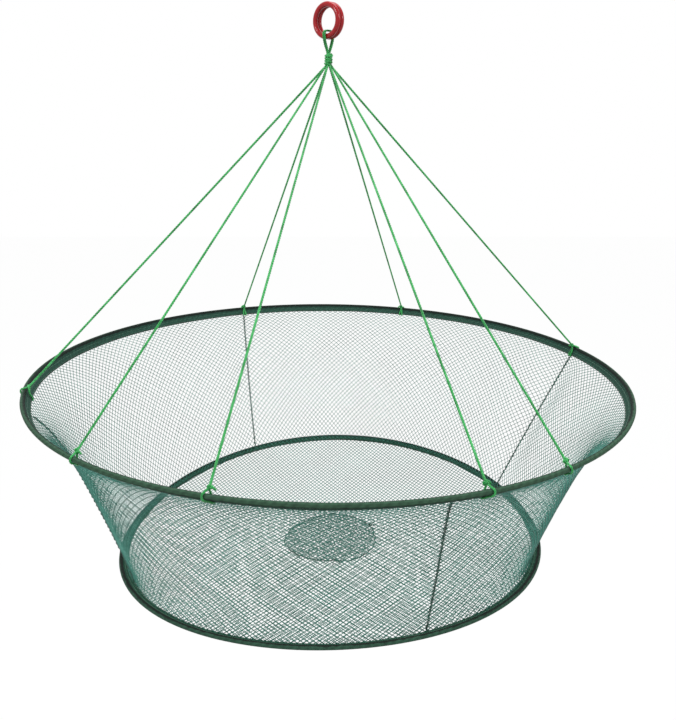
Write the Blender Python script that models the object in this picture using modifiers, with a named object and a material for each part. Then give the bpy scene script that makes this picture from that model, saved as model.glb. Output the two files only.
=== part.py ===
"""Round lift net for bait fish and crayfish, modelled as it hangs from its two lift rings.

Two hoops of spring steel wire, each sewn into a folded tape, carry a netting wall and a sagging netting floor
with a bait pocket. Eight cords run from the mouth hoop up to a gathering knot, and a short loop of cord above
the knot goes round the two plastic rings. Metres, +Z up. The origin is the inner top of the rings, where a
line or a hand holds them.
"""
import math

import bmesh
import bpy
import numpy as np
from mathutils import Matrix

CLEARANCE = 0.0003

# Lift rings: round plastic rings, side by side, turned away from the front
RING_OUTER = 0.0432
RING_TUBE = 0.0065
RING_TURN = math.radians(40.0)
RING_STEPS = 48
RING_SIDES = 10

# Cords
BRIDLE_CORD = 0.0030
LOOP_CORD = 0.0024
SEAM_CORD = 0.0022
DRAWCORD = 0.0020

# Gathering knot and the loop above it
KNOT_DROP = 0.0527
KNOT_HEIGHT = 0.0151
KNOT_DOME = 0.0046
KNOT_WRAP_RADIUS = 0.0053
KNOT_WAIST_RADIUS = 0.0046
KNOT_WRAPS = 3
KNOT_STEPS = 14

# Hoops, wall and floor
TOP_RADIUS = 0.400
BOTTOM_RADIUS = 0.3025
WALL_HEIGHT = 0.2413
BRIDLE_HEIGHT = 0.4024
WALL_CURVE = 1.5
FLOOR_SAG = 0.028
NETTING = 0.0010
HOOP_STEPS = 72
PANEL_STEPS = 18
BAND_LEVELS = 3
BANDS = ("upper", "middle", "lower")
BAND_STEP = 0.0015

# How the hung net departs from two level round hoops: both a little wider along X, a slope along X for each,
# and a saddle in the bottom one
HOOP_OVAL = 0.012
TOP_SLOPE = -0.0126
BOTTOM_SLOPE = 0.0226
BOTTOM_SADDLE = -0.0113

# How far round, in degrees, each seam has drifted by the time it reaches the bottom hoop
SEAM_DRIFTS = (7.4, 3.0, 4.2, 5.3)

# Hoop wire, its crimped ferrule and the tape folded over it
WIRE = 0.0030
WIRE_JOINT_GAP = 0.0010
FERRULE_WALL = 0.0004
FERRULE_LENGTH = 0.022
TAPE = 0.0005
TAPE_SLIT = 0.0004
TOP_TAIL_LENGTH = 0.0125
TOP_TAIL_DROP = math.radians(48.0)
BOTTOM_TAIL_LENGTH = 0.0102
BOTTOM_TAIL_DROP = math.radians(12.0)
PINCH_SHARE = 0.45
TOP_JOINT_FLAT = 27
BOTTOM_JOINT_FLAT = 48

# Where the cords meet the hoops, measured round from +X as degrees
TIE_AZIMUTHS = (195.2, 229.6, 254.2, 292.7, 308.0, 17.9, 70.8, 114.2)
SEAM_AZIMUTHS = (17.5, 114.3, 203.6, 286.9)
TIE_RISE = 0.0105
TIE_KNOT_RADIUS = 0.0032
NOTCH_RADIUS = 0.0024

# Bait pocket on the floor
POCKET_RADIUS = 0.066
POCKET_CROWN = 0.0020
POCKET_STEPS = 40
DRAWCORD_KNOT_AZIMUTH = math.radians(28.0)
DRAWCORD_KNOT_SWELL = 1.8

# Levels down the net, from the held point at z = 0
RING_RADIUS = (RING_OUTER - RING_TUBE) / 2
RING_PITCH = RING_TUBE + CLEARANCE
RING_CENTRE_Z = -(RING_RADIUS - RING_TUBE / 2)
RING_FOOT_Z = RING_CENTRE_Z - RING_RADIUS
KNOT_TOP_Z = -KNOT_DROP
KNOT_PIVOT_Z = KNOT_TOP_Z - KNOT_DOME
KNOT_FOOT_Z = KNOT_TOP_Z - KNOT_HEIGHT
TOP_Z = KNOT_FOOT_Z - BRIDLE_HEIGHT
BOTTOM_Z = TOP_Z - WALL_HEIGHT

# The tape's tube round the wire: room for the ferrule, then the tape itself
FERRULE_RADIUS = WIRE / 2 + CLEARANCE + FERRULE_WALL
TAPE_BEND_RADIUS = FERRULE_RADIUS + CLEARANCE + TAPE / 2
TAPE_OUTER_RADIUS = TAPE_BEND_RADIUS + TAPE / 2

RED = (0.46, 0.008, 0.014, 1.0)
CORD_GREEN = (0.045, 0.40, 0.12, 1.0)
DARK_CORD = (0.010, 0.055, 0.036, 1.0)
TAPE_GREEN = (0.030, 0.072, 0.048, 1.0)
NET_GREEN = (0.045, 0.22, 0.16, 1.0)
STEEL = (0.45, 0.45, 0.46, 1.0)


def new_collection(name):
    """A collection linked to the scene."""
    made = bpy.data.collections.new(name)
    bpy.context.scene.collection.children.link(made)
    return made


def finish_of(name, colour, roughness, metallic=0.0):
    """A material with one Principled shader."""
    made = bpy.data.materials.new(name)
    made.use_nodes = True
    shader = made.node_tree.nodes["Principled BSDF"]
    shader.inputs["Base Color"].default_value = colour
    shader.inputs["Roughness"].default_value = roughness
    shader.inputs["Metallic"].default_value = metallic
    return made


def mesh_object(name, points, edges):
    """An object of loose edges, linked to the scene, for a modifier to turn into a surface."""
    mesh = bpy.data.meshes.new(name)
    mesh.from_pydata(points, edges, [])
    made = bpy.data.objects.new(name, mesh)
    bpy.context.scene.collection.objects.link(made)
    return made


def turned(name, profile, steps, start=0.0, sweep=2 * math.pi):
    """A profile of (radius, height) points swept round Z from the azimuth start, as a live Screw modifier."""
    points = [(radius, 0.0, height) for radius, height in profile]
    edges = [(i, i + 1) for i in range(len(points) - 1)]
    made = mesh_object(name, points, edges)
    made.rotation_euler = (0.0, 0.0, start)
    screw = made.modifiers.new("Screw", "SCREW")
    screw.angle = sweep
    screw.steps = steps
    screw.render_steps = steps
    screw.use_merge_vertices = True
    screw.merge_threshold = 0.00001
    weld = made.modifiers.new("Weld", "WELD")
    weld.merge_threshold = 0.00001
    return made


def thicken(made, thickness):
    """Gives a surface its thickness, half to each side."""
    shell = made.modifiers.new("Solidify", "SOLIDIFY")
    shell.thickness = thickness
    shell.offset = 0.0
    shell.use_even_offset = True
    return made


def corded(name, points, diameter, swell=None, closed=False, sides=8, caps=True):
    """A round cord or wire through the points. swell scales its thickness at each point, as at a knot."""
    curve = bpy.data.curves.new(name, "CURVE")
    curve.dimensions = "3D"
    curve.bevel_depth = diameter / 2
    curve.bevel_resolution = sides // 2 - 2
    curve.use_fill_caps = caps
    spline = curve.splines.new("POLY")
    spline.points.add(len(points) - 1)
    spline.use_cyclic_u = closed
    for index, (point, place) in enumerate(zip(spline.points, points)):
        point.co = (*place, 1.0)
        point.radius = swell[index] if swell else 1.0
    made = bpy.data.objects.new(name, curve)
    bpy.context.scene.collection.objects.link(made)
    return made


def as_solid(made, reshape=None):
    """Replaces an object by its evaluated mesh in world space, welded, with its faces pointing out."""
    bpy.context.view_layer.update()
    graph = bpy.context.evaluated_depsgraph_get()
    mesh = bpy.data.meshes.new_from_object(made.evaluated_get(graph))
    mesh.transform(made.matrix_world)
    name = made.name
    bpy.data.objects.remove(made)
    work = bmesh.new()
    work.from_mesh(mesh)
    bmesh.ops.remove_doubles(work, verts=work.verts, dist=0.000002)
    bmesh.ops.dissolve_degenerate(work, edges=work.edges, dist=0.000002)
    if reshape:
        for vert in work.verts:
            vert.co = reshape(*vert.co)
    bmesh.ops.recalc_face_normals(work, faces=work.faces)
    work.to_mesh(mesh)
    work.free()
    solid = bpy.data.objects.new(name, mesh)
    bpy.context.scene.collection.objects.link(solid)
    return solid


def wall_depth(z):
    """The share of the way down from the mouth hoop to the bottom hoop."""
    return min(max((TOP_Z - z) / WALL_HEIGHT, 0.0), 1.0)


def lie(x, y, z):
    """Where a point of the net built on level round hoops lies when it hangs.

    The top slope acts at the mouth and above, the bottom slope and saddle at the floor and below, and the wall
    passes evenly from one to the other.
    """
    depth = wall_depth(z)
    saddle = BOTTOM_SADDLE * (x * x - y * y) / BOTTOM_RADIUS**2
    return (x * (1.0 + HOOP_OVAL), y, z + (1.0 - depth) * TOP_SLOPE * x + depth * (BOTTOM_SLOPE * x + saddle))


def seam_turn(azimuth, z):
    """How far round the wall has turned at a level, following the seams on either side of an azimuth."""
    degrees = np.interp(math.degrees(azimuth), SEAM_AZIMUTHS, SEAM_DRIFTS, period=360.0)
    return math.radians(degrees) * wall_depth(z)


def drift(x, y, z):
    """Where a point of the wall hangs: turned round with the seams beside it, more the lower it is."""
    turn = seam_turn(math.atan2(y, x), z)
    return lie(x * math.cos(turn) - y * math.sin(turn), x * math.sin(turn) + y * math.cos(turn), z)


def around(radius, azimuth, z):
    """A point from its cylindrical place."""
    return (radius * math.cos(azimuth), radius * math.sin(azimuth), z)


def wall_radius(share):
    """The netting's radius at a share of the wall's height: it hangs in a curve, steep at the foot."""
    foot = BOTTOM_RADIUS + TAPE_OUTER_RADIUS + facet_room(BOTTOM_RADIUS) + NETTING / 2
    return foot + (tail_tip(TOP_RADIUS, TOP_Z, TOP_TAIL_LENGTH, TOP_TAIL_DROP)[0] - foot) * share**WALL_CURVE


def wall_level(share):
    """The height of a share of the wall, from the bottom wire up to the foot of the mouth's tape."""
    head = tail_tip(TOP_RADIUS, TOP_Z, TOP_TAIL_LENGTH, TOP_TAIL_DROP)[1]
    head -= (TAPE_SLIT / 2 + TAPE) * math.cos(TOP_TAIL_DROP) + CLEARANCE
    return BOTTOM_Z + (head - BOTTOM_Z) * share


def facet_room(radius):
    """Room between two faceted rings whose corners don't line up: the depth of one facet and the clearance."""
    return radius * (1.0 - math.cos(math.pi / HOOP_STEPS)) + CLEARANCE


def tail_tip(radius, level, length, drop):
    """The (radius, height) of the edge of a hoop's tape, which runs inwards and down from its wire."""
    return radius - length * math.cos(drop), level - length * math.sin(drop)


def make_rings(finish):
    """Two plain rings of round section, standing side by side on one axis."""
    rings = []
    for name, side in (("lift_ring_a", -1), ("lift_ring_b", 1)):
        offset = side * RING_PITCH / 2
        bpy.ops.mesh.primitive_torus_add(
            major_radius=RING_RADIUS,
            minor_radius=RING_TUBE / 2,
            major_segments=RING_STEPS,
            minor_segments=RING_SIDES,
            location=(offset * math.sin(RING_TURN), offset * math.cos(RING_TURN), RING_CENTRE_Z),
            rotation=(math.pi / 2, 0.0, -RING_TURN),
        )
        ring = bpy.context.active_object
        ring.name = name
        ring.data.name = name
        ring.data.materials.append(finish)
        rings.append(ring)
    return rings


def make_hanger_loop(finish):
    """A loop of cord over both rings' feet, its two ends coming together at the knot."""
    bend = (RING_PITCH + RING_TUBE) / 2 + CLEARANCE + LOOP_CORD / 2
    over = [(bend * math.cos(a), RING_FOOT_Z + bend * math.sin(a)) for a in np.linspace(0, math.pi, 9)]
    end = KNOT_DOME + CLEARANCE
    spread = LOOP_CORD / 2 + CLEARANCE
    foot_z = KNOT_PIVOT_Z + end
    leg = [(0.93, 0.18), (0.68, 0.46), (0.36, 0.74)]
    side = [(spread + (bend - spread) * out, RING_FOOT_Z + (foot_z - RING_FOOT_Z) * down) for out, down in leg]
    side.append((spread, foot_z))
    flat = [*reversed(side), *over, *[(-u, z) for u, z in side]]
    points = [(u * math.sin(RING_TURN), u * math.cos(RING_TURN), z) for u, z in flat]
    loop = as_solid(corded("hanger_loop", points, LOOP_CORD))
    loop.data.materials.append(finish)
    return loop


def make_knot(finish):
    """The gathering knot: a dome that the loop turns on, then wraps of cord over the eight gathered legs."""
    dome = [
        (KNOT_DOME * math.sin(a), KNOT_PIVOT_Z + KNOT_DOME * math.cos(a))
        for a in np.linspace(0, math.radians(75), 5)
    ]
    wraps_top = dome[-1][1]
    wrap = (wraps_top - KNOT_FOOT_Z) / KNOT_WRAPS
    coils = []
    for index in range(KNOT_WRAPS):
        top = wraps_top - index * wrap
        coils.append((KNOT_WRAP_RADIUS, top - 0.3 * wrap))
        coils.append((KNOT_WRAP_RADIUS, top - 0.7 * wrap))
        coils.append((KNOT_WAIST_RADIUS, top - wrap))
    foot_radius = leg_fan_radius() + BRIDLE_CORD / 2
    profile = [*dome, *coils[:-1], (foot_radius, KNOT_FOOT_Z), (0.0, KNOT_FOOT_Z)]
    knot = as_solid(turned("gather_knot", profile, KNOT_STEPS))
    knot.data.materials.append(finish)
    return knot


def tie_place(azimuth, out, up):
    """A point in the cross-section of the mouth hoop: out from its wire and up from it, as it hangs.

    The hoop is modelled in flats, so its radius shrinks a little between two corners.
    """
    half = math.pi / HOOP_STEPS
    flat = TOP_RADIUS * math.cos(half) / math.cos(azimuth % (2 * half) - half)
    return lie(*around(flat + out, azimuth, TOP_Z + up))


def tie_knot(azimuth):
    """The middle of a rim tie's knot, a little way up the leg from the wire."""
    steep = math.atan2(BRIDLE_HEIGHT, TOP_RADIUS)
    return tie_place(azimuth, -TIE_RISE * math.cos(steep), TIE_RISE * math.sin(steep))


def leg_fan_radius():
    """How far from the axis the legs leave the knot, so that neighbours clear each other there."""
    return (BRIDLE_CORD + 2 * CLEARANCE) / (2 * math.sin(math.pi / len(TIE_AZIMUTHS))) * 1.04


def make_legs(finish):
    """Eight straight cords, fanned evenly out of the knot's foot and running down to the rim ties."""
    order = sorted(range(len(TIE_AZIMUTHS)), key=lambda index: TIE_AZIMUTHS[index])
    fan = 2 * math.pi / len(order)
    turn = math.radians(np.mean([TIE_AZIMUTHS[index] for index in order])) - fan * (len(order) - 1) / 2
    lean = math.atan2(TOP_RADIUS, BRIDLE_HEIGHT)
    top = KNOT_FOOT_Z - CLEARANCE - math.sin(lean) * BRIDLE_CORD / 2
    legs = []
    for rank, index in enumerate(order):
        start = np.array(around(leg_fan_radius(), turn + rank * fan, top))
        knot = np.array(tie_knot(math.radians(TIE_AZIMUTHS[index])))
        away = (start - knot) / np.linalg.norm(start - knot)
        end = knot + away * (TIE_KNOT_RADIUS * math.cos(math.pi / 6) + CLEARANCE)
        points = [tuple(start + (end - start) * share) for share in (0.0, 0.5, 1.0)]
        leg = as_solid(corded(f"bridle_leg_{index + 1}", points, BRIDLE_CORD))
        leg.data.materials.append(finish)
        legs.append(leg)
    return legs


def make_ties(finish):
    """A cord round the tape and its wire at the foot of each leg, ending in a knot above them."""
    steep = math.atan2(BRIDLE_HEIGHT, TOP_RADIUS)
    turns = np.radians([105, 65, 25, -15, -55])
    bend = (TAPE_OUTER_RADIUS + 2 * CLEARANCE + BRIDLE_CORD / 2) / math.cos((turns[0] - turns[1]) / 2)
    beside = TAPE_SLIT / 2 + TAPE + 2 * CLEARANCE + BRIDLE_CORD / 2
    along = np.array([-math.cos(TOP_TAIL_DROP), -math.sin(TOP_TAIL_DROP)])
    under = np.array([math.sin(TOP_TAIL_DROP), -math.cos(TOP_TAIL_DROP)])
    tip = TOP_TAIL_LENGTH + CLEARANCE + BRIDLE_CORD / 2
    section = [np.array([-TIE_RISE * math.cos(steep), TIE_RISE * math.sin(steep)])]
    section += [bend * np.array([math.cos(a), math.sin(a)]) for a in turns]
    section += [along * TOP_TAIL_LENGTH * 0.45 + under * (beside + 0.0006)]
    section += [along * TOP_TAIL_LENGTH + under * beside, along * tip + under * beside * 0.45]
    section += [along * tip - under * beside * 0.45, along * TOP_TAIL_LENGTH - under * beside]
    section += [along * TOP_TAIL_LENGTH * 0.62 - under * (beside + 0.0012)]
    swell = [2 * TIE_KNOT_RADIUS / BRIDLE_CORD] + [1.0] * (len(section) - 1)
    ties = []
    for index, degrees in enumerate(TIE_AZIMUTHS):
        points = [tie_place(math.radians(degrees), *place) for place in section]
        tie = as_solid(corded(f"rim_tie_{index + 1}", points, BRIDLE_CORD, swell, closed=True, sides=6))
        tie.data.materials.append(finish)
        ties.append(tie)
    return ties


def flat_middle(radius, flat):
    """The azimuth and the middle of one of the wire's straight stretches, and the direction along it."""
    half = math.pi / HOOP_STEPS
    azimuth = half * (2 * flat + 1)
    reach = radius * math.cos(half)
    middle = np.array([reach * math.cos(azimuth), reach * math.sin(azimuth)])
    return azimuth, middle, np.array([-math.sin(azimuth), math.cos(azimuth)])


def make_hoop_wire(name, radius, level, flat, finish):
    """A ring of wire whose two ends meet in the middle of a straight stretch."""
    azimuth, middle, along = flat_middle(radius, flat)
    half = math.pi / HOOP_STEPS
    corners = [around(radius, azimuth + half * (2 * k + 1), level) for k in range(HOOP_STEPS)]
    first = (*(middle + along * WIRE_JOINT_GAP / 2), level)
    last = (*(middle - along * WIRE_JOINT_GAP / 2), level)
    wire = as_solid(corded(name, [first, *corners, last], WIRE, sides=6), lie)
    wire.data.materials.append(finish)
    return wire


def make_ferrule(name, radius, level, flat, finish):
    """A crimped sleeve over the wire's two ends, open at both ends."""
    _, middle, along = flat_middle(radius, flat)
    ends = [(*(middle + along * FERRULE_LENGTH * share), level) for share in (-0.5, 0.5)]
    bore = WIRE / 2 + CLEARANCE
    sleeve = corded(name, ends, 2 * bore + FERRULE_WALL, sides=12, caps=False)
    thicken(sleeve, FERRULE_WALL)
    sleeve = as_solid(sleeve, lie)
    sleeve.data.materials.append(finish)
    return sleeve


def make_binding(name, radius, level, length, drop, finish):
    """Tape folded over the wire, its two edges running in and down side by side to take the netting."""
    along = np.array([-math.cos(drop), -math.sin(drop)])
    under = np.array([math.sin(drop), -math.cos(drop)])
    half_slit = (TAPE_SLIT + TAPE) / 2
    lower = [along * length + under * half_slit, along * length * PINCH_SHARE + under * half_slit]
    upper = [along * length * PINCH_SHARE - under * half_slit, along * length - under * half_slit]
    turns = np.radians([60, 108, 156, 204, 252, 300])
    bend = [TAPE_BEND_RADIUS * (along * math.cos(a) + under * math.sin(a)) for a in turns]
    places = [*lower, *bend, *upper]
    profile = [(radius + out, level + up) for out, up in places]
    binding = thicken(turned(name, profile, HOOP_STEPS), TAPE)
    binding = as_solid(binding, lie)
    binding.data.materials.append(finish)
    return binding


def make_notch_cutters(cutters):
    """A short round cutter through the head of the wall at each tie, where the tie's cord goes through."""
    made = []
    tip_radius, tip_z = tail_tip(TOP_RADIUS, TOP_Z, TOP_TAIL_LENGTH, TOP_TAIL_DROP)
    for index, degrees in enumerate(TIE_AZIMUTHS):
        azimuth = math.radians(degrees)
        azimuth -= seam_turn(azimuth, tip_z)
        bpy.ops.mesh.primitive_cylinder_add(
            vertices=10,
            radius=NOTCH_RADIUS,
            depth=TOP_TAIL_LENGTH,
            location=around(tip_radius, azimuth, tip_z - BRIDLE_CORD / 2),
            rotation=(0.0, math.pi / 2, azimuth),
        )
        cutter = bpy.context.active_object
        cutter.name = f"cut_tie_{index + 1}"
        cutter.hide_render = True
        cutter.display_type = "WIRE"
        for old in cutter.users_collection:
            old.objects.unlink(cutter)
        cutters.objects.link(cutter)
        made.append((degrees, cutter))
    return made


def make_wall(cutters, finish):
    """Four netting panels between the seams, each in three bands that slide into each other as the net folds.

    A lower band's head lies inside the foot of the band above it, because the wall widens upwards.
    """
    panels = []
    gap = (SEAM_CORD / 2 + CLEARANCE) / BOTTOM_RADIUS
    heads = [1.0 - index / len(BANDS) for index in range(len(BANDS))]
    for number, degrees in enumerate(SEAM_AZIMUTHS):
        following = SEAM_AZIMUTHS[(number + 1) % len(SEAM_AZIMUTHS)]
        span = (following - degrees) % 360.0
        start = math.radians(degrees) + gap
        for index, band in enumerate(BANDS):
            head, foot = heads[index], heads[index] - 1.0 / len(BANDS)
            inwards = -BAND_STEP / 2 if index else 0.0
            outwards = BAND_STEP / 2 if index < len(BANDS) - 1 else 0.0
            shares = np.linspace(head, foot, BAND_LEVELS)
            offsets = np.linspace(inwards, outwards, BAND_LEVELS)
            profile = [(wall_radius(s) + out, wall_level(s)) for s, out in zip(shares, offsets)]
            name = f"wall_panel_{number + 1}_{band}"
            panel = turned(name, profile, PANEL_STEPS, start, math.radians(span) - 2 * gap)
            thicken(panel, NETTING)
            if index == 0:
                for tie, cutter in cutters:
                    if (tie - degrees) % 360.0 < span:
                        cut = panel.modifiers.new(cutter.name, "BOOLEAN")
                        cut.operation = "DIFFERENCE"
                        cut.object = cutter
            panel = as_solid(panel, drift)
            panel.data.materials.append(finish)
            panels.append(panel)
    return panels


def make_seams(finish):
    """A cord down each seam of the wall, from under the rim ties to the outside of the bottom tape."""
    seams = []
    height = wall_level(1.0) - BOTTOM_Z
    foot = SEAM_CORD / 2 / height
    head = 1.0 - (2 * BRIDLE_CORD + SEAM_CORD / 2) / height
    for number, degrees in enumerate(SEAM_AZIMUTHS):
        shares = np.linspace(foot, head, 7)
        points = [around(wall_radius(s) + CLEARANCE, math.radians(degrees), wall_level(s)) for s in shares]
        seam = as_solid(corded(f"wall_seam_{number + 1}", points, SEAM_CORD, sides=6), drift)
        seam.data.materials.append(finish)
        seams.append(seam)
    return seams


def floor_level(radius):
    """The height of the floor netting's middle: it sags in a shallow bowl from the bottom tape's edge."""
    edge, edge_z = tail_tip(BOTTOM_RADIUS, BOTTOM_Z, BOTTOM_TAIL_LENGTH, BOTTOM_TAIL_DROP)
    return edge_z - (FLOOR_SAG - (BOTTOM_Z - edge_z)) * (1.0 - (radius / edge) ** 2)


def make_floor(finish):
    """The round floor of netting, butting the edge of the bottom tape all round."""
    edge = tail_tip(BOTTOM_RADIUS, BOTTOM_Z, BOTTOM_TAIL_LENGTH, BOTTOM_TAIL_DROP)[0] - 2 * CLEARANCE
    rings = [0.0, POCKET_RADIUS, 0.45 * edge, 0.72 * edge, edge]
    profile = [(radius, floor_level(radius)) for radius in rings]
    floor = as_solid(thicken(turned("floor_netting", profile, HOOP_STEPS), NETTING), lie)
    floor.data.materials.append(finish)
    return floor


def pocket_base(radius):
    """The top of the floor under the pocket, which is a straight cone out to the pocket's edge."""
    share = radius / POCKET_RADIUS
    return (1.0 - share) * floor_level(0.0) + share * floor_level(POCKET_RADIUS) + NETTING / 2


def make_pocket(finish):
    """A second, slightly crowned layer of netting on the middle of the floor, which holds the bait."""
    lift = CLEARANCE + NETTING / 2
    rings = [0.0, POCKET_RADIUS / 2, POCKET_RADIUS]
    profile = [(r, pocket_base(r) + lift + POCKET_CROWN * (1.0 - (r / POCKET_RADIUS) ** 2)) for r in rings]
    pocket = as_solid(thicken(turned("bait_pocket", profile, POCKET_STEPS), NETTING), lie)
    pocket.data.materials.append(finish)
    return pocket


def make_drawcord(finish):
    """The cord that gathers the pocket's edge, lying round it on the floor, with its knot at one side."""
    reach = POCKET_RADIUS + CLEARANCE + NETTING / 2 + DRAWCORD / 2
    azimuths = DRAWCORD_KNOT_AZIMUTH + np.linspace(0, 2 * math.pi, POCKET_STEPS, endpoint=False)
    swell = [DRAWCORD_KNOT_SWELL] + [1.0] * (POCKET_STEPS - 1)
    points = []
    for azimuth, thick in zip(azimuths, swell):
        out = reach + (thick - 1.0) * DRAWCORD / 2
        z = floor_level(out) + NETTING / 2 + 2 * CLEARANCE + thick * DRAWCORD / 2
        points.append(around(out, azimuth, z))
    drawcord = as_solid(corded("pocket_drawcord", points, DRAWCORD, swell, closed=True, sides=6), lie)
    drawcord.data.materials.append(finish)
    return drawcord


def carry(parts, name, pieces, place):
    """Puts pieces that move together in the object's collection, under an empty on their joint."""
    empty = bpy.data.objects.new(name, None)
    empty.location = place
    empty.empty_display_size = 0.02
    parts.objects.link(empty)
    bpy.context.view_layer.update()
    for piece in pieces:
        for old in piece.users_collection:
            old.objects.unlink(piece)
        parts.objects.link(piece)
        piece.parent = empty
        piece.matrix_parent_inverse = Matrix.Translation(place).inverted()
        piece.data.shade_smooth()
        piece.data.set_sharp_from_angle(angle=math.radians(40))


def main():
    for old in list(bpy.data.objects):
        bpy.data.objects.remove(old)
    parts = new_collection("lift_net")
    cutters = new_collection("cutters")
    red = finish_of("glossy_red_plastic", RED, 0.18)
    cord_green = finish_of("twisted_green_cord", CORD_GREEN, 0.6)
    dark_cord = finish_of("dark_green_cord", DARK_CORD, 0.7)
    tape = finish_of("woven_green_tape", TAPE_GREEN, 0.6)
    netting = finish_of("green_netting", NET_GREEN, 0.5)
    steel = finish_of("spring_steel_wire", STEEL, 0.35, 1.0)

    ring_a, ring_b = make_rings(red)
    loop = make_hanger_loop(cord_green)
    knot = make_knot(cord_green)
    legs = make_legs(cord_green)
    ties = make_ties(cord_green)
    mouth = [
        make_hoop_wire("top_hoop_wire", TOP_RADIUS, TOP_Z, TOP_JOINT_FLAT, steel),
        make_ferrule("top_hoop_ferrule", TOP_RADIUS, TOP_Z, TOP_JOINT_FLAT, steel),
        make_binding("top_binding", TOP_RADIUS, TOP_Z, TOP_TAIL_LENGTH, TOP_TAIL_DROP, tape),
    ]
    wall = make_wall(make_notch_cutters(cutters), netting)
    seams = make_seams(dark_cord)
    base = [
        make_hoop_wire("bottom_hoop_wire", BOTTOM_RADIUS, BOTTOM_Z, BOTTOM_JOINT_FLAT, steel),
        make_ferrule("bottom_hoop_ferrule", BOTTOM_RADIUS, BOTTOM_Z, BOTTOM_JOINT_FLAT, steel),
        make_binding("bottom_binding", BOTTOM_RADIUS, BOTTOM_Z, BOTTOM_TAIL_LENGTH, BOTTOM_TAIL_DROP, tape),
        make_floor(netting),
        make_pocket(netting),
        make_drawcord(dark_cord),
    ]

    upper, middle, lower = (wall[index :: len(BANDS)] for index in range(len(BANDS)))
    carry(parts, "held_ring", [ring_a], (0.0, 0.0, 0.0))
    carry(parts, "second_ring", [ring_b], (0.0, 0.0, 0.0))
    carry(parts, "loop", [loop], (0.0, 0.0, RING_FOOT_Z))
    carry(parts, "bridle", [knot, *legs], (0.0, 0.0, KNOT_PIVOT_Z))
    carry(parts, "mouth_hoop", [*mouth, *ties, *upper, *seams], (0.0, 0.0, TOP_Z))
    carry(parts, "wall_middle", middle, (0.0, 0.0, wall_level(2 / 3)))
    carry(parts, "wall_lower", lower, (0.0, 0.0, wall_level(1 / 3)))
    carry(parts, "floor_hoop", base, (0.0, 0.0, BOTTOM_Z))


main()
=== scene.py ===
"""A round lift net hanging from its rings: netting of real strands, laid cords, folded and stitched tape.

Metres, +Z up. The origin is the inner top of the two rings, where the net is held.
"""
import math

import bpy
import numpy as np
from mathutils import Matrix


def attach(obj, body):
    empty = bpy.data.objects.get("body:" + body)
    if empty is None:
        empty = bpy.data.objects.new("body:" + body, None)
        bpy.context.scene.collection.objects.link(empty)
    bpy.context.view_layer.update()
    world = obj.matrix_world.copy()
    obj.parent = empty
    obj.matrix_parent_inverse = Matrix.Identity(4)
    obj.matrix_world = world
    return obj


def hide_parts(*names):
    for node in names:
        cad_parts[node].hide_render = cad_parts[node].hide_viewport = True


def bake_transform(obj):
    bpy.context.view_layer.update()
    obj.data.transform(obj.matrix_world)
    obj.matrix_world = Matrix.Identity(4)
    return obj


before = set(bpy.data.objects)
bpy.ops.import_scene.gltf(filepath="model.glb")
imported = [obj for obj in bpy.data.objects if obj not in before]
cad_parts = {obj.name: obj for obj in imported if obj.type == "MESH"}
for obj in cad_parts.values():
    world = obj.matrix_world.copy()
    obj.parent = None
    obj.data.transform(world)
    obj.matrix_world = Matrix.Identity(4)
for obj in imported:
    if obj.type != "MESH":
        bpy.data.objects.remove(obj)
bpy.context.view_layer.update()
scene = bpy.context.scene
TURN = 2 * math.pi

# The view: a camera a metre in front of the net and a little above its mouth, looking down 17 degrees.
# The light is a plain studio: a white room and three large soft boxes, over a white floor far below the net.
IMAGE_HEIGHT = 720
FOCAL_PIXELS = 757.76
SENSOR = 36.0
LOOK_DOWN = 0.3013
CAMERA_PLACE = (0.0119, -1.0208, -0.138)
ROOM_LIGHT = 0.62
FLOOR_Z = -1.55
FLOOR_SEEN = 0.955

camera = bpy.data.cameras.new("viewer")
camera.sensor_width = SENSOR
camera.lens = FOCAL_PIXELS / IMAGE_HEIGHT * SENSOR
viewer = bpy.data.objects.new("viewer", camera)
viewer.location = CAMERA_PLACE
viewer.rotation_euler = (math.pi / 2 - LOOK_DOWN, 0.0, 0.0)
scene.collection.objects.link(viewer)
scene.camera = viewer
scene.view_settings.view_transform = "Standard"


def put(tree, kind, sockets=None, **settings):
    """Adds a node. settings are its own properties; sockets gives each input a value or an output to link."""
    node = tree.nodes.new(kind)
    for name, value in settings.items():
        setattr(node, name, value)
    for name, value in (sockets or {}).items():
        socket = node.inputs[name]
        if isinstance(value, bpy.types.NodeSocket):
            tree.links.new(value, socket)
        else:
            socket.default_value = value
    return node


def tint(code, alpha=1.0):
    """An sRGB hex colour as linear light: divided by 12.92 below 0.04045, raised to the power 2.4 above."""
    parts = [int(code[i : i + 2], 16) / 255 for i in (1, 3, 5)]
    return (*[p / 12.92 if p <= 0.04045 else ((p + 0.055) / 1.055) ** 2.4 for p in parts], alpha)


def looked_at(tree):
    """1 for a ray that looks at the background: straight, reflected or through something clear. Else 0."""
    ray = put(tree, "ShaderNodeLightPath")
    seen = put(tree, "ShaderNodeMath", {0: ray.outputs["Is Camera Ray"], 1: ray.outputs["Is Glossy Ray"]},
               operation="MAXIMUM")
    return put(tree, "ShaderNodeMath", {0: seen.outputs[0], 1: ray.outputs["Is Transmission Ray"]},
               operation="MAXIMUM").outputs[0]


room = bpy.data.worlds.new("white_room")
room.use_nodes = True
room.node_tree.nodes.clear()
lit = put(room.node_tree, "ShaderNodeBackground", {"Color": tint("#f4f6f6"), "Strength": ROOM_LIGHT})
bare = put(room.node_tree, "ShaderNodeBackground", {"Color": tint("#ffffff"), "Strength": 1.0})
either = put(room.node_tree, "ShaderNodeMixShader", {
    0: looked_at(room.node_tree), 1: lit.outputs[0], 2: bare.outputs[0]})
put(room.node_tree, "ShaderNodeOutputWorld", {"Surface": either.outputs[0]})
scene.world = room

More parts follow.
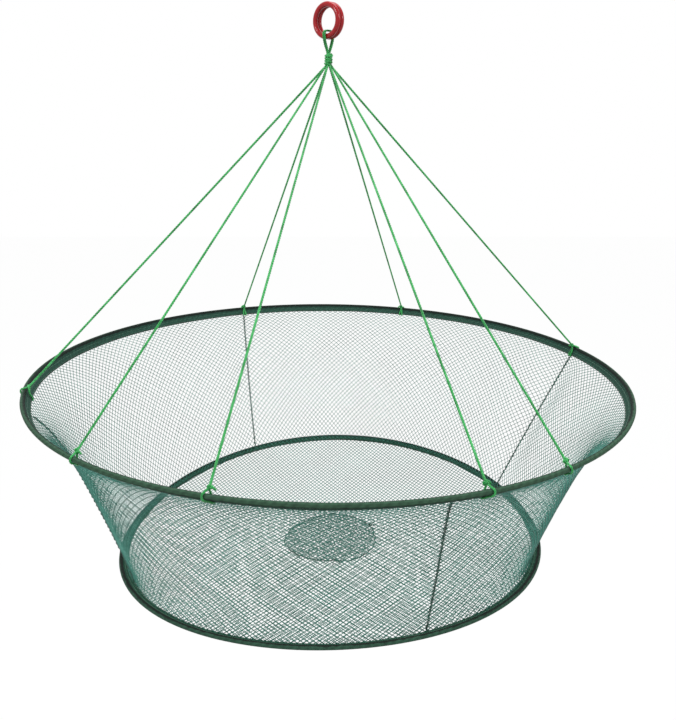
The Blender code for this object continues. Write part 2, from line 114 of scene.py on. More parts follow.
for name, place, aim, size, power in (
    ("soft_box_left", (-1.9, -1.7, 1.3), (0.0, 0.0, -0.4), 0.9, 34.0),
    ("soft_box_right", (2.1, -1.2, 0.9), (0.0, 0.0, -0.4), 0.8, 24.0),
    ("soft_box_above", (0.2, 0.5, 1.9), (0.0, 0.0, -0.5), 1.6, 22.0),
):
    lamp = bpy.data.lights.new(name, "AREA")
    lamp.size = size
    lamp.energy = power
    holder = bpy.data.objects.new(name, lamp)
    holder.location = place
    toward = np.array(aim) - np.array(place)
    flat = math.hypot(toward[0], toward[1])
    holder.rotation_euler = (math.atan2(flat, -toward[2]), 0.0, math.atan2(-toward[0], toward[1]))
    scene.collection.objects.link(holder)

floor_mesh = bpy.data.meshes.new("studio_floor")
floor_mesh.from_pydata([(x, y, FLOOR_Z) for x, y in ((-9, -9), (9, -9), (9, 9), (-9, 9))], [], [(0, 1, 2, 3)])
studio_floor = bpy.data.objects.new("studio_floor", floor_mesh)
scene.collection.objects.link(studio_floor)
paper = bpy.data.materials.new("white_paper_floor")
paper.use_nodes = True
paper.node_tree.nodes.clear()
matte = put(paper.node_tree, "ShaderNodeBsdfDiffuse", {"Color": tint("#9a9a9a")})
shaded = put(paper.node_tree, "ShaderNodeBsdfDiffuse", {"Color": tint("#444444")})
glow = put(paper.node_tree, "ShaderNodeEmission", {"Color": tint("#ffffff"), "Strength": FLOOR_SEEN})
white = put(paper.node_tree, "ShaderNodeAddShader", {0: shaded.outputs[0], 1: glow.outputs[0]})
either = put(paper.node_tree, "ShaderNodeMixShader", {
    0: looked_at(paper.node_tree), 1: matte.outputs[0], 2: white.outputs[0]})
put(paper.node_tree, "ShaderNodeOutputMaterial", {"Surface": either.outputs[0]})
floor_mesh.materials.append(paper)

# The two lift rings: injection-moulded ABS, round in section, glossy red, with the mould's fine parting line
# round the outside and the inside. They stand side by side and turned 40 degrees from the view.
RING_CENTRE_RADIUS = 0.01835
RING_TUBE_RADIUS = 0.00325
RING_TURN = math.radians(40.0)
RING_CENTRE_Z = -0.0151
RING_SPACING = 0.0068
PARTING_RAISE = 0.000012
PARTING_WIDTH = 0.09
RING_STEPS = 128
TUBE_STEPS = 40
beside = np.array([math.sin(RING_TURN), math.cos(RING_TURN), 0.0])
across = np.array([math.cos(RING_TURN), -math.sin(RING_TURN), 0.0])
upward = np.array([0.0, 0.0, 1.0])


def skin(name, tubes, beads=None):
    """A mesh of round tubes, and of beads.

    Each entry of tubes is an array of points, tubes x rings x sides x 3, an array, tubes x rings, of how far
    along its tube each ring is, and whether the tubes close on themselves. Sides go round the way that a
    right-hand screw turns while it moves along the tube. Neighbouring rings are joined by four-sided faces,
    and open ends are closed by one face each. beads is an array of centres and half axes, beads x 4 x 3: each
    is an octahedron. The UV map is the distance along in metres, and the share of the way round.
    """
    points, faces, places, offset = [], [], [], 0
    for rings, along, closed in tubes:
        count, length, sides = rings.shape[:3]
        index = offset + np.arange(count * length * sides).reshape(count, length, sides)
        last = length if closed else length - 1
        here, ahead = index[:, :last], np.roll(index, -1, axis=1)[:, :last]
        quads = np.stack([here, np.roll(here, -1, 2), np.roll(ahead, -1, 2), ahead], axis=-1)
        faces += quads.reshape(-1, 4).tolist()
        step = np.broadcast_to(along[:, :, None], (count, length, sides))
        onward = np.roll(step, -1, axis=1).copy()
        onward[:, -1] = 2 * step[:, -1] - step[:, -2]
        u0, u1 = step[:, :last], onward[:, :last]
        v0 = np.broadcast_to(np.arange(sides) / sides, u0.shape)
        v1 = v0 + 1 / sides
        corners = [np.stack(pair, -1) for pair in ((u0, v0), (u0, v1), (u1, v1), (u1, v0))]
        places.append(np.stack(corners, axis=-2).reshape(-1, 2))
        if not closed:
            for cap, place in ((index[:, 0, ::-1], step[:, 0, ::-1]), (index[:, -1], step[:, -1])):
                faces += cap.tolist()
                places.append(np.stack([place, np.broadcast_to(0.5, place.shape)], -1).reshape(-1, 2))
        points.append(rings.reshape(-1, 3))
        offset += count * length * sides
    if beads is not None:
        centre, axes = beads[:, :1], beads[:, 1:]
        points.append(np.concatenate([centre + axes, centre - axes], axis=1).reshape(-1, 3))
        corner = offset + 6 * np.arange(len(beads))[:, None, None]
        octahedron = np.array([
            (0, 1, 2), (1, 3, 2), (3, 4, 2), (4, 0, 2), (1, 0, 5), (3, 1, 5), (4, 3, 5), (0, 4, 5)])
        faces += (corner + octahedron).reshape(-1, 3).tolist()
        places.append(np.zeros((len(beads) * 24, 2)))
    mesh = bpy.data.meshes.new(name)
    mesh.from_pydata(np.concatenate(points), [], faces)
    layer = mesh.uv_layers.new(name="lay")
    layer.data.foreach_set("uv", np.concatenate(places).astype(np.float32).ravel())
    mesh.shade_smooth()
    made = bpy.data.objects.new(name, mesh)
    scene.collection.objects.link(made)
    return made


def unit(vectors):
    """Vectors scaled to length 1."""
    return vectors / np.linalg.norm(vectors, axis=-1, keepdims=True)


def finish_of(name, code, roughness, **more):
    """A material with its Principled shader: colour from an sRGB hex, and further sockets by their names."""
    made = bpy.data.materials.new(name)
    made.use_nodes = True
    shader = made.node_tree.nodes["Principled BSDF"]
    shader.inputs["Base Color"].default_value = tint(code)
    shader.inputs["Roughness"].default_value = roughness
    for label, value in more.items():
        shader.inputs[label.replace("_", " ")].default_value = value
    return made, made.node_tree, shader


# Moulded ABS: a deep even red with a polished skin. Only faint flow marks, about 11 mm across, and scuffs of
# about 5 mm break its gloss.
red_plastic, tree, shader = finish_of("moulded_red_abs", "#ad0a15", 0.12, Specular_IOR_Level=0.36)
spot = put(tree, "ShaderNodeTexCoord")
flow = put(tree, "ShaderNodeTexNoise", {"Vector": spot.outputs["Object"], "Scale": 90.0, "Detail": 3.0})
shade = put(tree, "ShaderNodeMix", {0: flow.outputs["Fac"], 6: tint("#9d0913"), 7: tint("#bd101b")},
            data_type="RGBA")
scuff = put(tree, "ShaderNodeTexNoise", {"Vector": spot.outputs["Object"], "Scale": 220.0, "Detail": 2.0})
gloss = put(tree, "ShaderNodeMapRange", {0: scuff.outputs["Fac"], 1: 0.35, 2: 0.75, 3: 0.13, 4: 0.18})
dent = put(tree, "ShaderNodeBump", {"Height": flow.outputs["Fac"], "Strength": 0.01, "Distance": 0.0003})
tree.links.new(shade.outputs[2], shader.inputs["Base Color"])
tree.links.new(gloss.outputs[0], shader.inputs["Roughness"])
tree.links.new(dent.outputs[0], shader.inputs["Normal"])

round_ring = np.linspace(0, TURN, RING_STEPS, endpoint=False)[:, None]
round_tube = np.linspace(0, TURN, TUBE_STEPS, endpoint=False)[None, :]
for name, node, body, side in (
    ("red_ring_a", "lift_ring_a", "held_ring", -0.5),
    ("red_ring_b", "lift_ring_b", "second_ring", 0.5),
):
    radial = np.cos(round_ring)[..., None] * across + np.sin(round_ring)[..., None] * upward
    thick = RING_TUBE_RADIUS + PARTING_RAISE * np.exp(-((np.sin(round_tube) / PARTING_WIDTH) ** 2))
    points = side * RING_SPACING * beside + RING_CENTRE_Z * upward + RING_CENTRE_RADIUS * radial
    points = points + (thick * np.cos(round_tube))[..., None] * radial
    points = points + (thick * np.sin(round_tube))[..., None] * beside
    ring = skin(name, [(points[None], round_ring.T * RING_CENTRE_RADIUS, True)])
    ring.data.materials.append(red_plastic)
    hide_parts(node)
    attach(ring, body)

# The hanger loop: a doubled length of three-strand green polyethylene cord, laid over the feet of both rings.
# Its ends come together below them and go down into the gathering knot.
CORD = 0.0030
LOOP_CORD = 0.0024
LOOP_CLEAR = 0.0053
LOOP_CORNER = (0.0032, 0.00145)
LOOP_LEG = [(0.0077, -0.0368), (0.0060, -0.0420), (0.0036, -0.0472), (0.0014, -0.0526)]
LOOP_STEPS = 110
LOOP_SPREAD = 0.52
LOOP_PINCH = 0.55
LOOP_PINCH_HEIGHT = 0.007
RING_FOOT_Z = -0.03345
KNOT_TOP_Z = -0.0527
LAY_LENGTH = 3.1


def eased(corners, count, closed=False):
    """A smooth line through the corners, evenly spaced: a Catmull-Rom cubic from each corner to the next."""
    corners = np.asarray(corners, float)
    if closed:
        before, start, end, after = (np.roll(corners, shift, axis=0) for shift in (1, 0, -1, -2))
    else:
        padded = np.vstack([2 * corners[0] - corners[1], corners, 2 * corners[-1] - corners[-2]])
        before, start, end, after = padded[:-3], padded[1:-2], padded[2:-1], padded[3:]
    t = np.linspace(0, 1, 24, endpoint=False)[None, :, None]
    before, start, end, after = (part[:, None] for part in (before, start, end, after))
    line = 0.5 * (
        2 * start
        + (end - before) * t
        + (2 * before - 5 * start + 4 * end - after) * t**2
        + (3 * start - before - 3 * end + after) * t**3
    )
    line = np.vstack([line.reshape(-1, corners.shape[1]), corners[:1] if closed else corners[-1:]])
    run = np.concatenate([[0.0], np.cumsum(np.linalg.norm(np.diff(line, axis=0), axis=1))])
    even = np.linspace(0, run[-1], count, endpoint=not closed)
    return np.stack([np.interp(even, run, part) for part in line.T], axis=1)


def path_length(path):
    """The length of a line of points."""
    return float(np.linalg.norm(np.diff(path, axis=0), axis=1).sum())


def tubed(paths, radius, side, sides):
    """Round tubes along many lines at once: paths is lines x points x 3, side is a direction across them."""
    tangent = unit(np.gradient(paths, axis=-2))
    out = unit(side - (tangent * side).sum(-1, keepdims=True) * tangent)
    over = np.cross(tangent, out)
    ring = TURN * np.arange(sides) / sides
    about = np.cos(ring)[:, None] * out[..., None, :] + np.sin(ring)[:, None] * over[..., None, :]
    step = np.linalg.norm(np.diff(paths, axis=-2), axis=-1)
    run = np.concatenate([np.zeros(step.shape[:-1] + (1,)), np.cumsum(step, axis=-1)], axis=-1)
    return paths[..., None, :] + radius * about, run, False


def laid(path, diameter, side, strands=3, sides=6, closed=False, phase=0.0):
    """A laid cord: strands wound round the path like a screw, each a round tube.

    A strand's middle runs at a quarter of the cord's diameter from the path and turns once in LAY_LENGTH
    diameters. side is a direction that is nowhere along the path; it sets where the winding starts.
    """
    ahead = np.roll(path, -1, axis=0) if closed else path[1:]
    tangent = unit(ahead - np.roll(path, 1, axis=0)) if closed else unit(np.gradient(path, axis=0))
    step = np.linalg.norm(ahead - path[: len(ahead)], axis=1)
    run = np.concatenate([[0.0], np.cumsum(step)])[: len(path)]
    turns = 1 / (LAY_LENGTH * diameter)
    if closed:
        turns = round(step.sum() * turns) / step.sum()
    out = unit(side - (tangent @ side)[:, None] * tangent)
    over = np.cross(tangent, out)
    angle = TURN * (run[None, :] * turns + np.arange(strands)[:, None] / strands) + phase
    wound = np.cos(angle)[..., None] * out + np.sin(angle)[..., None] * over
    ring = TURN * np.arange(sides) / sides
    about = np.cos(ring)[:, None] * out[:, None, :] + np.sin(ring)[:, None] * over[:, None, :]
    rings = (path + diameter / 4 * wound)[:, :, None, :] + diameter / 4 * about[None]
    return rings, np.broadcast_to(run, (strands, len(run))), closed


# Polyethylene twine: many fine filaments twisted into each strand, a little shiny, paler where they catch
# the light. The filaments are too fine to show, so they are drawn coarser: streaks 4 mm long, eleven round a
# strand, and patches of 17 mm.
def twine(name, dark, mid, light):
    """Laid cord: its colour and its bump follow the filaments along each strand, on the piece's UV map."""
    made, tree, shader = finish_of(name, mid, 0.42, Sheen_Weight=0.25, Sheen_Roughness=0.4)
    lay = put(tree, "ShaderNodeUVMap", uv_map="lay")
    drawn = put(tree, "ShaderNodeMapping", {
        0: lay.outputs[0], "Scale": (260.0, 11.0, 1.0), "Rotation": (0, 0, 0.25)})
    thread = put(tree, "ShaderNodeTexNoise", {"Vector": drawn.outputs[0], "Scale": 1.0, "Detail": 3.0})
    spot = put(tree, "ShaderNodeTexCoord")
    patch = put(tree, "ShaderNodeTexNoise", {"Vector": spot.outputs["Object"], "Scale": 60.0, "Detail": 2.0})
    blend = put(tree, "ShaderNodeMath", {0: thread.outputs["Fac"], 1: patch.outputs["Fac"]}, operation="ADD")
    ramp = put(tree, "ShaderNodeValToRGB", {0: put(tree, "ShaderNodeMath", {0: blend.outputs[0], 1: 0.5},
                                                   operation="MULTIPLY").outputs[0]})
    stops = ramp.color_ramp.elements
    stops[0].position, stops[0].color = 0.36, tint(dark)
    stops[1].position, stops[1].color = 0.66, tint(light)
    stops.new(0.5).color = tint(mid)
    dent = put(tree, "ShaderNodeBump", {"Height": thread.outputs["Fac"], "Strength": 0.5, "Distance": 0.0002})
    tree.links.new(ramp.outputs[0], shader.inputs["Base Color"])
    tree.links.new(dent.outputs[0], shader.inputs["Normal"])
    return made


green_twine = twine("laid_green_polyethylene_cord", "#137a35", "#2fae54", "#5cd07c")

bend = np.radians([90, 75, 60, 45, 30, 15, -3])
corner = np.stack([LOOP_CORNER[0] + LOOP_CLEAR * np.cos(bend),
                   RING_FOOT_Z + LOOP_CORNER[1] + LOOP_CLEAR * np.sin(bend)], axis=1)
over_rings = np.vstack([corner[::-1] * (-1, 1), corner])
hanging_leg = np.array(LOOP_LEG)
flat_loop = np.vstack([hanging_leg[::-1] * (-1, 1), over_rings, hanging_leg])
middle_loop = eased(flat_loop[:, :1] * beside + flat_loop[:, 1:] * upward, LOOP_STEPS)
pinched = np.interp(middle_loop[:, 2], (KNOT_TOP_Z, KNOT_TOP_Z + LOOP_PINCH_HEIGHT), (LOOP_PINCH, 1.0))
for number, side in ((1, -1), (2, 1)):
    apart = pinched * LOOP_SPREAD * LOOP_CORD
    loop_path = middle_loop + side * apart[:, None] * across
    hanger_cord = skin(f"hanger_cord_{number}", [laid(loop_path, LOOP_CORD, across, phase=number)])
    hanger_cord.data.materials.append(green_twine)
    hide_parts("hanger_loop")
    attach(hanger_cord, "hanger")

# The gathering knot: one end of the cord wound tight round all eight legs and locked by a last turn crossing
# the others. A plug of cord ends fills its core.
KNOT_FOOT_Z = -0.0678
WRAP_RADIUS = 0.0036
WRAP_TURNS = 3.8
LOCKING_RADIUS = 0.0048
LOCKING_Z = -0.0602
LOCKING_RISE = 0.0052
CORE_CORD = 0.0058
wind = np.linspace(0, 1, 190)
angle = TURN * WRAP_TURNS * wind
swell = 1.0 + 0.07 * np.sin(math.pi * wind) + 0.05 * np.sin(angle * 1.7)
height = KNOT_TOP_Z - 0.0014 + (KNOT_FOOT_Z - KNOT_TOP_Z + 0.0034) * wind
wrap_path = np.stack([
    WRAP_RADIUS * swell * np.cos(angle), WRAP_RADIUS * swell * np.sin(angle), height], axis=1)
cross = np.linspace(-0.62 * math.pi, 0.72 * math.pi, 60)
locking_path = np.stack([
    LOCKING_RADIUS * np.cos(cross - 1.2), LOCKING_RADIUS * np.sin(cross - 1.2),
    LOCKING_Z + LOCKING_RISE * np.sin(cross * 1.1)], axis=1)
core_z = np.linspace(KNOT_TOP_Z + 0.0006, KNOT_FOOT_Z - 0.0006, 24)
core_path = np.stack([0 * core_z, 0 * core_z, core_z], axis=1)
gathering = skin("gathering_knot", [
    laid(wrap_path, CORD, upward), laid(locking_path, CORD * 0.75, upward),
    laid(core_path, CORE_CORD, across, strands=5)])
gathering.data.materials.append(green_twine)
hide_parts("gather_knot")
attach(gathering, "bridle")

# The eight bridle legs: lengths of the same cord, pulled straight by the net's weight. They leave the knot's
# foot in a fan and run down to the mouth hoop, where each is tied on.
TOP_RADIUS = 0.400
TOP_Z = -0.4702
BOTTOM_RADIUS = 0.3025
WALL_HEIGHT = 0.2413
BOTTOM_Z = TOP_Z - WALL_HEIGHT
TIE_AZIMUTHS = np.radians([195.2, 229.6, 254.2, 292.7, 308.0, 17.9, 70.8, 114.2])
FAN_RADIUS = 0.00489
TIE_OUT = -0.0074
TIE_UP = 0.0074
LEG_STEPS = 620
LEG_FOOT_DROP = 0.0012
LEG_IN_KNOT = 0.004
LEG_CUT = 0.0005
HOOP_OVAL = 0.012
MOUTH_SLOPE = 0.0126
FLOOR_SLOPE = 0.0226
FLOOR_SADDLE = 0.0113


def lie(points):
    """The hung net's lie, given to points built on level round hoops.

    Both hoops are 1.2% wider along X. The mouth slopes by -12.6 mm a metre along X and the floor by 22.6, and
    the floor has a saddle of -11.3 mm times (x squared - y squared) over the hoop's radius squared. The wall
    passes evenly between them.
    """
    x, y, z = points[..., 0], points[..., 1], points[..., 2]
    depth = np.clip((TOP_Z - z) / WALL_HEIGHT, 0, 1)
    saddle = -FLOOR_SADDLE * (x**2 - y**2) / BOTTOM_RADIUS**2
    hung = z - (1 - depth) * MOUTH_SLOPE * x + depth * (FLOOR_SLOPE * x + saddle)
    return np.stack([x * (1 + HOOP_OVAL), y, hung], axis=-1)


def at_mouth(azimuth, out, up, sideways=0.0):
    """A point of the mouth hoop's section: out and up from its wire, and sideways along it."""
    base = np.array([math.cos(azimuth), math.sin(azimuth), 0.0])
    aside = np.array([-math.sin(azimuth), math.cos(azimuth), 0.0])
    return lie((TOP_RADIUS + out) * base + (TOP_Z + up) * upward + sideways * aside)


order = np.argsort(TIE_AZIMUTHS % TURN)
fan_turn = TIE_AZIMUTHS.mean() - TURN / 8 * 3.5
for rank, index in enumerate(order):
    azimuth = TIE_AZIMUTHS[index]
    fan = fan_turn + TURN / 8 * rank
    foot = np.array([FAN_RADIUS * math.cos(fan), FAN_RADIUS * math.sin(fan), KNOT_FOOT_Z - LEG_FOOT_DROP])
    knot = at_mouth(azimuth, TIE_OUT, TIE_UP)
    leg = unit(knot - foot)
    ends = foot - LEG_IN_KNOT * leg, knot - LEG_CUT * leg
    leg_path = ends[0] + np.linspace(0, 1, LEG_STEPS)[:, None] * (ends[1] - ends[0])
    number = index + 1
    cord = skin(f"bridle_cord_{number}", [laid(leg_path, CORD, upward, phase=1.3 * index)])
    cord.data.materials.append(green_twine)
    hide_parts(f"bridle_leg_{number}")
    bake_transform(cord)

# The rim ties: each leg's end goes once or twice round the tape and is made fast with an overhand knot above
# it, with a short end left over. The ties at the back cross over themselves.
TAIL_DROP = math.radians(48.0)
TAIL_LENGTH = 0.0125
SNUG = 0.0020
TIE_CORD = CORD * 0.86
TIE_KNOT_CORD = CORD * 0.78
FRONT_TIES = (1, 2, 3, 4)
BACK_TIES = (5, 6, 7)
FRONT_SPREAD, OTHER_SPREAD = 0.0034, 0.0022
FRONT_KNOT, OTHER_KNOT = 0.00088, 0.00066
KNOT_STANDS_IN = 0.0008


def trefoil(centre, size, facing, turn=0.0):
    """An overhand knot's line, facing a direction: sin t + 2 sin 2t, cos t - 2 cos 2t and -1.15 sin 3t."""
    t = np.linspace(0, TURN, 96, endpoint=False) + turn
    first = unit(np.cross(facing, upward))
    second = np.cross(facing, first)
    wide = (np.sin(t) + 2 * np.sin(2 * t))[:, None] * first
    high = (np.cos(t) - 2 * np.cos(2 * t))[:, None] * second
    flat = wide + high
    return centre + size * (flat - 1.15 * np.sin(3 * t)[:, None] * unit(facing))


tail = np.array([-math.cos(TAIL_DROP), -math.sin(TAIL_DROP)])
under = np.array([math.sin(TAIL_DROP), -math.cos(TAIL_DROP)])
# Once round the tape's section, from the knot: (out, up) from the wire.
TIE_SECTION = [
    (-0.0062, 0.0062), (-0.0010, 0.0045), (0.0032, 0.0031), (0.0044, -0.0004), (0.0024, -0.0040),
    tuple(tail * 0.0068 + under * 0.0026), tuple(tail * 0.0117 + under * SNUG), tuple(tail * 0.0138),
    tuple(tail * 0.0113 - under * SNUG), tuple(tail * 0.0062 - under * 0.0032), (-0.0062, 0.0042)]
for index, azimuth in enumerate(TIE_AZIMUTHS):
    aside = np.array([-math.sin(azimuth), math.cos(azimuth), 0.0])
    share = np.linspace(0, 1, len(TIE_SECTION))
    spread = FRONT_SPREAD if index in FRONT_TIES else OTHER_SPREAD
    lean = spread * np.sin(TURN * share) * (1 if index % 2 else -1)
    turns = [lean, -lean] if index in BACK_TIES else [lean]
    parts = []
    for sideways in turns:
        corners = [at_mouth(azimuth, o, u, s) for (o, u), s in zip(TIE_SECTION, sideways)]
        parts.append(laid(eased(corners, 90, closed=True), TIE_CORD, aside, closed=True))
    knot = at_mouth(azimuth, TIE_OUT + KNOT_STANDS_IN, TIE_UP - KNOT_STANDS_IN)
    inward = np.array([-math.cos(azimuth), -math.sin(azimuth), 0.55])
    size = FRONT_KNOT if index in FRONT_TIES else OTHER_KNOT
    parts.append(laid(trefoil(knot, size, unit(inward), 0.6 * index), TIE_KNOT_CORD,
                      unit(inward + 0.2 * aside), closed=True))
    end = eased([knot, knot + 0.0022 * aside + (0, 0, 0.0012), knot + 0.0046 * aside + (0, 0, -0.0006),
                 knot + 0.0058 * aside + 0.0010 * inward + (0, 0, -0.0034)], 30)
    parts.append(laid(end, TIE_KNOT_CORD, unit(inward)))
    tie = skin(f"tied_cord_{index + 1}", parts)
    tie.data.materials.append(green_twine)
    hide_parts(f"rim_tie_{index + 1}")
    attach(tie, "mouth_hoop")

# The hems: woven polypropylene tape folded over each hoop's wire, its two edges running in and down side by
# side with the netting between them. Two rows of stitches go through on each face.
TAPE = 0.0005
TAPE_SLIT = 0.0004
TAPE_BEND = 0.00275
PINCH_SHARE = 0.45
BOTTOM_TAIL_LENGTH = 0.0102
BOTTOM_TAIL_DROP = math.radians(12.0)
HEM_STEPS = 720
STITCH_PITCH = 0.0031
STITCH_HALF = 0.0012
STITCH_RADIUS = 0.00026
STITCH_RISE = 0.00006
STITCH_DIP = 0.0004
STITCH_ROWS = (0.50, 0.90)
EDGE_WAVES = (0.00045, 0.00030)
chance = np.random.default_rng(41)


def tail_axes(drop):
    """The direction along a hem's tail, and the one under it, as (out, up)."""
    return np.array([-math.cos(drop), -math.sin(drop)]), np.array([math.sin(drop), -math.cos(drop)])


def folded_tape(length, drop):
    """The tape's cross-section as a closed line of (out, up), and its width.

    Its middle line goes out along the upper edge, round the wire in six corners and in along the lower edge.
    Each face lies half the tape's thickness from that line.
    """
    along, under = tail_axes(drop)
    half = (TAPE + TAPE_SLIT) / 2
    bends = np.radians([300, 252, 204, 156, 108, 60])
    corners = [along * length - under * half, along * length * PINCH_SHARE - under * half]
    corners += [TAPE_BEND * (along * math.cos(a) + under * math.sin(a)) for a in bends]
    corners += [along * length * PINCH_SHARE + under * half, along * length + under * half]
    middle = eased(corners, 24)
    direction = unit(np.gradient(middle, axis=0))
    face = TAPE / 2 * np.stack([-direction[:, 1], direction[:, 0]], axis=1)
    return np.vstack([middle + face, (middle - face)[::-1]]), path_length(middle)


def outward(azimuth):
    """The level direction away from the net's middle, at each azimuth: cos, sin and 0."""
    return np.stack([np.cos(azimuth), np.sin(azimuth), 0 * azimuth], axis=-1)


def edge_waves(azimuth, turns, phases):
    """A hem's two waves at each azimuth: 1.6 times the mean of six cosines, each with its turns and phase."""
    return [1.6 * np.cos(azimuth[..., None] * turns[k] + phases[k]).mean(axis=-1) for k in (0, 1)]


def hem_place(radius, level, azimuth, section, waves, length, drop):
    """A hem's point from its azimuth and (out, up).

    The tail waves a little, up and down and in and out: by EDGE_WAVES at its tip, and not at all at the wire.
    """
    along, under = tail_axes(drop)
    reach = np.clip(section @ along / length, 0, 1)[..., None]
    aside = EDGE_WAVES[0] * waves[0][..., None] * under + EDGE_WAVES[1] * waves[1][..., None] * along
    section = section + reach * aside
    return lie((radius + section[..., :1]) * outward(azimuth) + (level + section[..., 1:]) * upward)


# Woven tape: dull, with ribs across and along. Its colour holds painted light: a painted highlight over the
# wire, and painted shade where it turns under, in the hollow behind and at its edges. The real weave of about
# 0.6 mm is too fine to show, so it is drawn coarser: slanting ribs about 7 mm apart and lengthwise ones 3.5
# mm apart, with mottling of 4 and 8 mm.
def webbing(name, width, crest_highlight, groove_shade, body, edge):
    """A tape's material, from its width and its four colours.

    They are the colours over the wire (a painted highlight), in the hollow behind it (painted shade), on the
    tail (the tape's own colour) and at the edge (painted shade). The share of the way from the wire to the
    edge is 4 times the distance of V from a quarter.
    """
    made, tree, shader = finish_of(name, body, 0.82, Specular_IOR_Level=0.25)
    lay = put(tree, "ShaderNodeUVMap", uv_map="lay")
    split = put(tree, "ShaderNodeSeparateXYZ", {0: lay.outputs[0]})
    aside = put(tree, "ShaderNodeMath", {0: split.outputs["Y"], 1: -0.25}, operation="ADD")
    aside = put(tree, "ShaderNodeMath", {0: aside.outputs[0]}, operation="ABSOLUTE")
    share = put(tree, "ShaderNodeMath", {0: aside.outputs[0], 1: 4.0}, operation="MULTIPLY")
    spot = put(tree, "ShaderNodeTexCoord")
    patch = put(tree, "ShaderNodeTexNoise", {"Vector": spot.outputs["Object"], "Scale": 120.0, "Detail": 4.0})
    shaken = put(tree, "ShaderNodeMapRange", {0: patch.outputs["Fac"], 1: 0.3, 2: 0.7, 3: -0.05, 4: 0.05})
    share = put(tree, "ShaderNodeMath", {0: share.outputs[0], 1: shaken.outputs[0]}, operation="ADD")
    ramp = put(tree, "ShaderNodeValToRGB", {0: share.outputs[0]})
    stops = ramp.color_ramp.elements
    # The ramp paints light: a painted highlight over the wire, painted shade in the hollow behind it and at
    # the edge.
    stops[0].position, stops[0].color = 0.0, tint(crest_highlight)
    stops[1].position, stops[1].color = 1.0, tint(edge)
    for place, code in ((0.12, crest_highlight), (0.24, groove_shade), (0.40, groove_shade), (0.50, body), (0.86, body)):
        stops.new(place).color = tint(code)
    wide = put(tree, "ShaderNodeCombineXYZ", {0: split.outputs["X"], 1: put(
        tree, "ShaderNodeMath", {0: split.outputs["Y"], 1: 2 * width}, operation="MULTIPLY").outputs[0]})
    ribs = put(tree, "ShaderNodeTexWave", {"Vector": wide.outputs[0], "Scale": 66.0, "Distortion": 1.5,
                                           "Detail": 2.0, "Detail Scale": 3.0}, bands_direction="DIAGONAL")
    warp = put(tree, "ShaderNodeTexWave", {"Vector": wide.outputs[0], "Scale": 90.0, "Distortion": 0.6},
               bands_direction="Y")
    weave = put(tree, "ShaderNodeMath", {0: ribs.outputs["Fac"], 1: warp.outputs["Fac"]}, operation="ADD")
    light = put(tree, "ShaderNodeMapRange", {0: weave.outputs[0], 1: 0.2, 2: 1.8, 3: 0.78, 4: 1.24})
    blotch = put(tree, "ShaderNodeTexNoise", {
        "Vector": spot.outputs["Object"], "Scale": 260.0, "Detail": 5.0})
    mottle = put(tree, "ShaderNodeMapRange", {
        0: blotch.outputs["Fac"], 1: 0.32, 2: 0.68, 3: 0.82, 4: 1.18})
    both = put(tree, "ShaderNodeMath", {0: light.outputs[0], 1: mottle.outputs[0]}, operation="MULTIPLY")
    shade = put(tree, "ShaderNodeVectorMath", {0: ramp.outputs[0], "Scale": both.outputs[0]},
                operation="SCALE")
    dent = put(tree, "ShaderNodeBump", {"Height": weave.outputs[0], "Strength": 0.6, "Distance": 0.0003})
    tree.links.new(shade.outputs[0], shader.inputs["Base Color"])
    tree.links.new(dent.outputs[0], shader.inputs["Normal"])
    return made


stitch_thread = twine("twisted_green_stitching", "#1a3d2c", "#3c6a52", "#6b937c")
hem_turn = np.linspace(0, TURN, HEM_STEPS, endpoint=False)
# Each tape's colours: a painted highlight over the wire, painted shade behind it, its own colour, painted
# shade at the edge.
for name, radius, level, length, drop, colours in (
    ("top", TOP_RADIUS, TOP_Z, TAIL_LENGTH, TAIL_DROP, ("#34523f", "#0c1a14", "#23463a", "#1f2a24")),
    ("bottom", BOTTOM_RADIUS, BOTTOM_Z, BOTTOM_TAIL_LENGTH, BOTTOM_TAIL_DROP,
     ("#325443", "#0b1812", "#27503f", "#1c241f")),
):
    body = "mouth_hoop" if name == "top" else "floor_hoop"
    waving = chance.integers(5, 26, (2, 6)), chance.uniform(0, TURN, (2, 6))
    section, width = folded_tape(length, drop)
    round_hem = np.repeat(hem_turn[:, None], len(section), axis=1)
    rings = hem_place(radius, level, round_hem, section[None], edge_waves(round_hem, *waving), length, drop)
    tape = skin(f"{name}_tape", [(rings[None], hem_turn[None] * radius, True)])
    tape.data.materials.append(webbing(f"woven_{name}_tape", width, *colours))
    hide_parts(f"{name}_binding")
    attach(tape, body)

    along, under = tail_axes(drop)
    count = int(TURN * radius / STITCH_PITCH)
    centres = TURN * np.arange(count) / count
    # A stitch lies on the tape and dips into it at both ends.
    steps = np.array([-STITCH_HALF, -0.75 * STITCH_HALF, 0.75 * STITCH_HALF, STITCH_HALF]) / radius
    sink = np.array([-STITCH_DIP, STITCH_RISE, STITCH_RISE, -STITCH_DIP])
    rows = []
    for reach in STITCH_ROWS:
        for face in (-1, 1):
            azimuth = centres[:, None] + steps[None, :] + 0.4 * reach / count
            height = face * (TAPE_SLIT / 2 + TAPE + sink)
            place = along * length * reach + height[None, :, None] * under
            place = np.broadcast_to(place, azimuth.shape + (2,))
            line = hem_place(radius, level, azimuth, place, edge_waves(azimuth, *waving), length, drop)
            rows.append(tubed(line, STITCH_RADIUS, upward, 5))
    stitches = skin(f"{name}_tape_stitches", rows)
    stitches.data.materials.append(stitch_thread)
    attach(stitches, body)

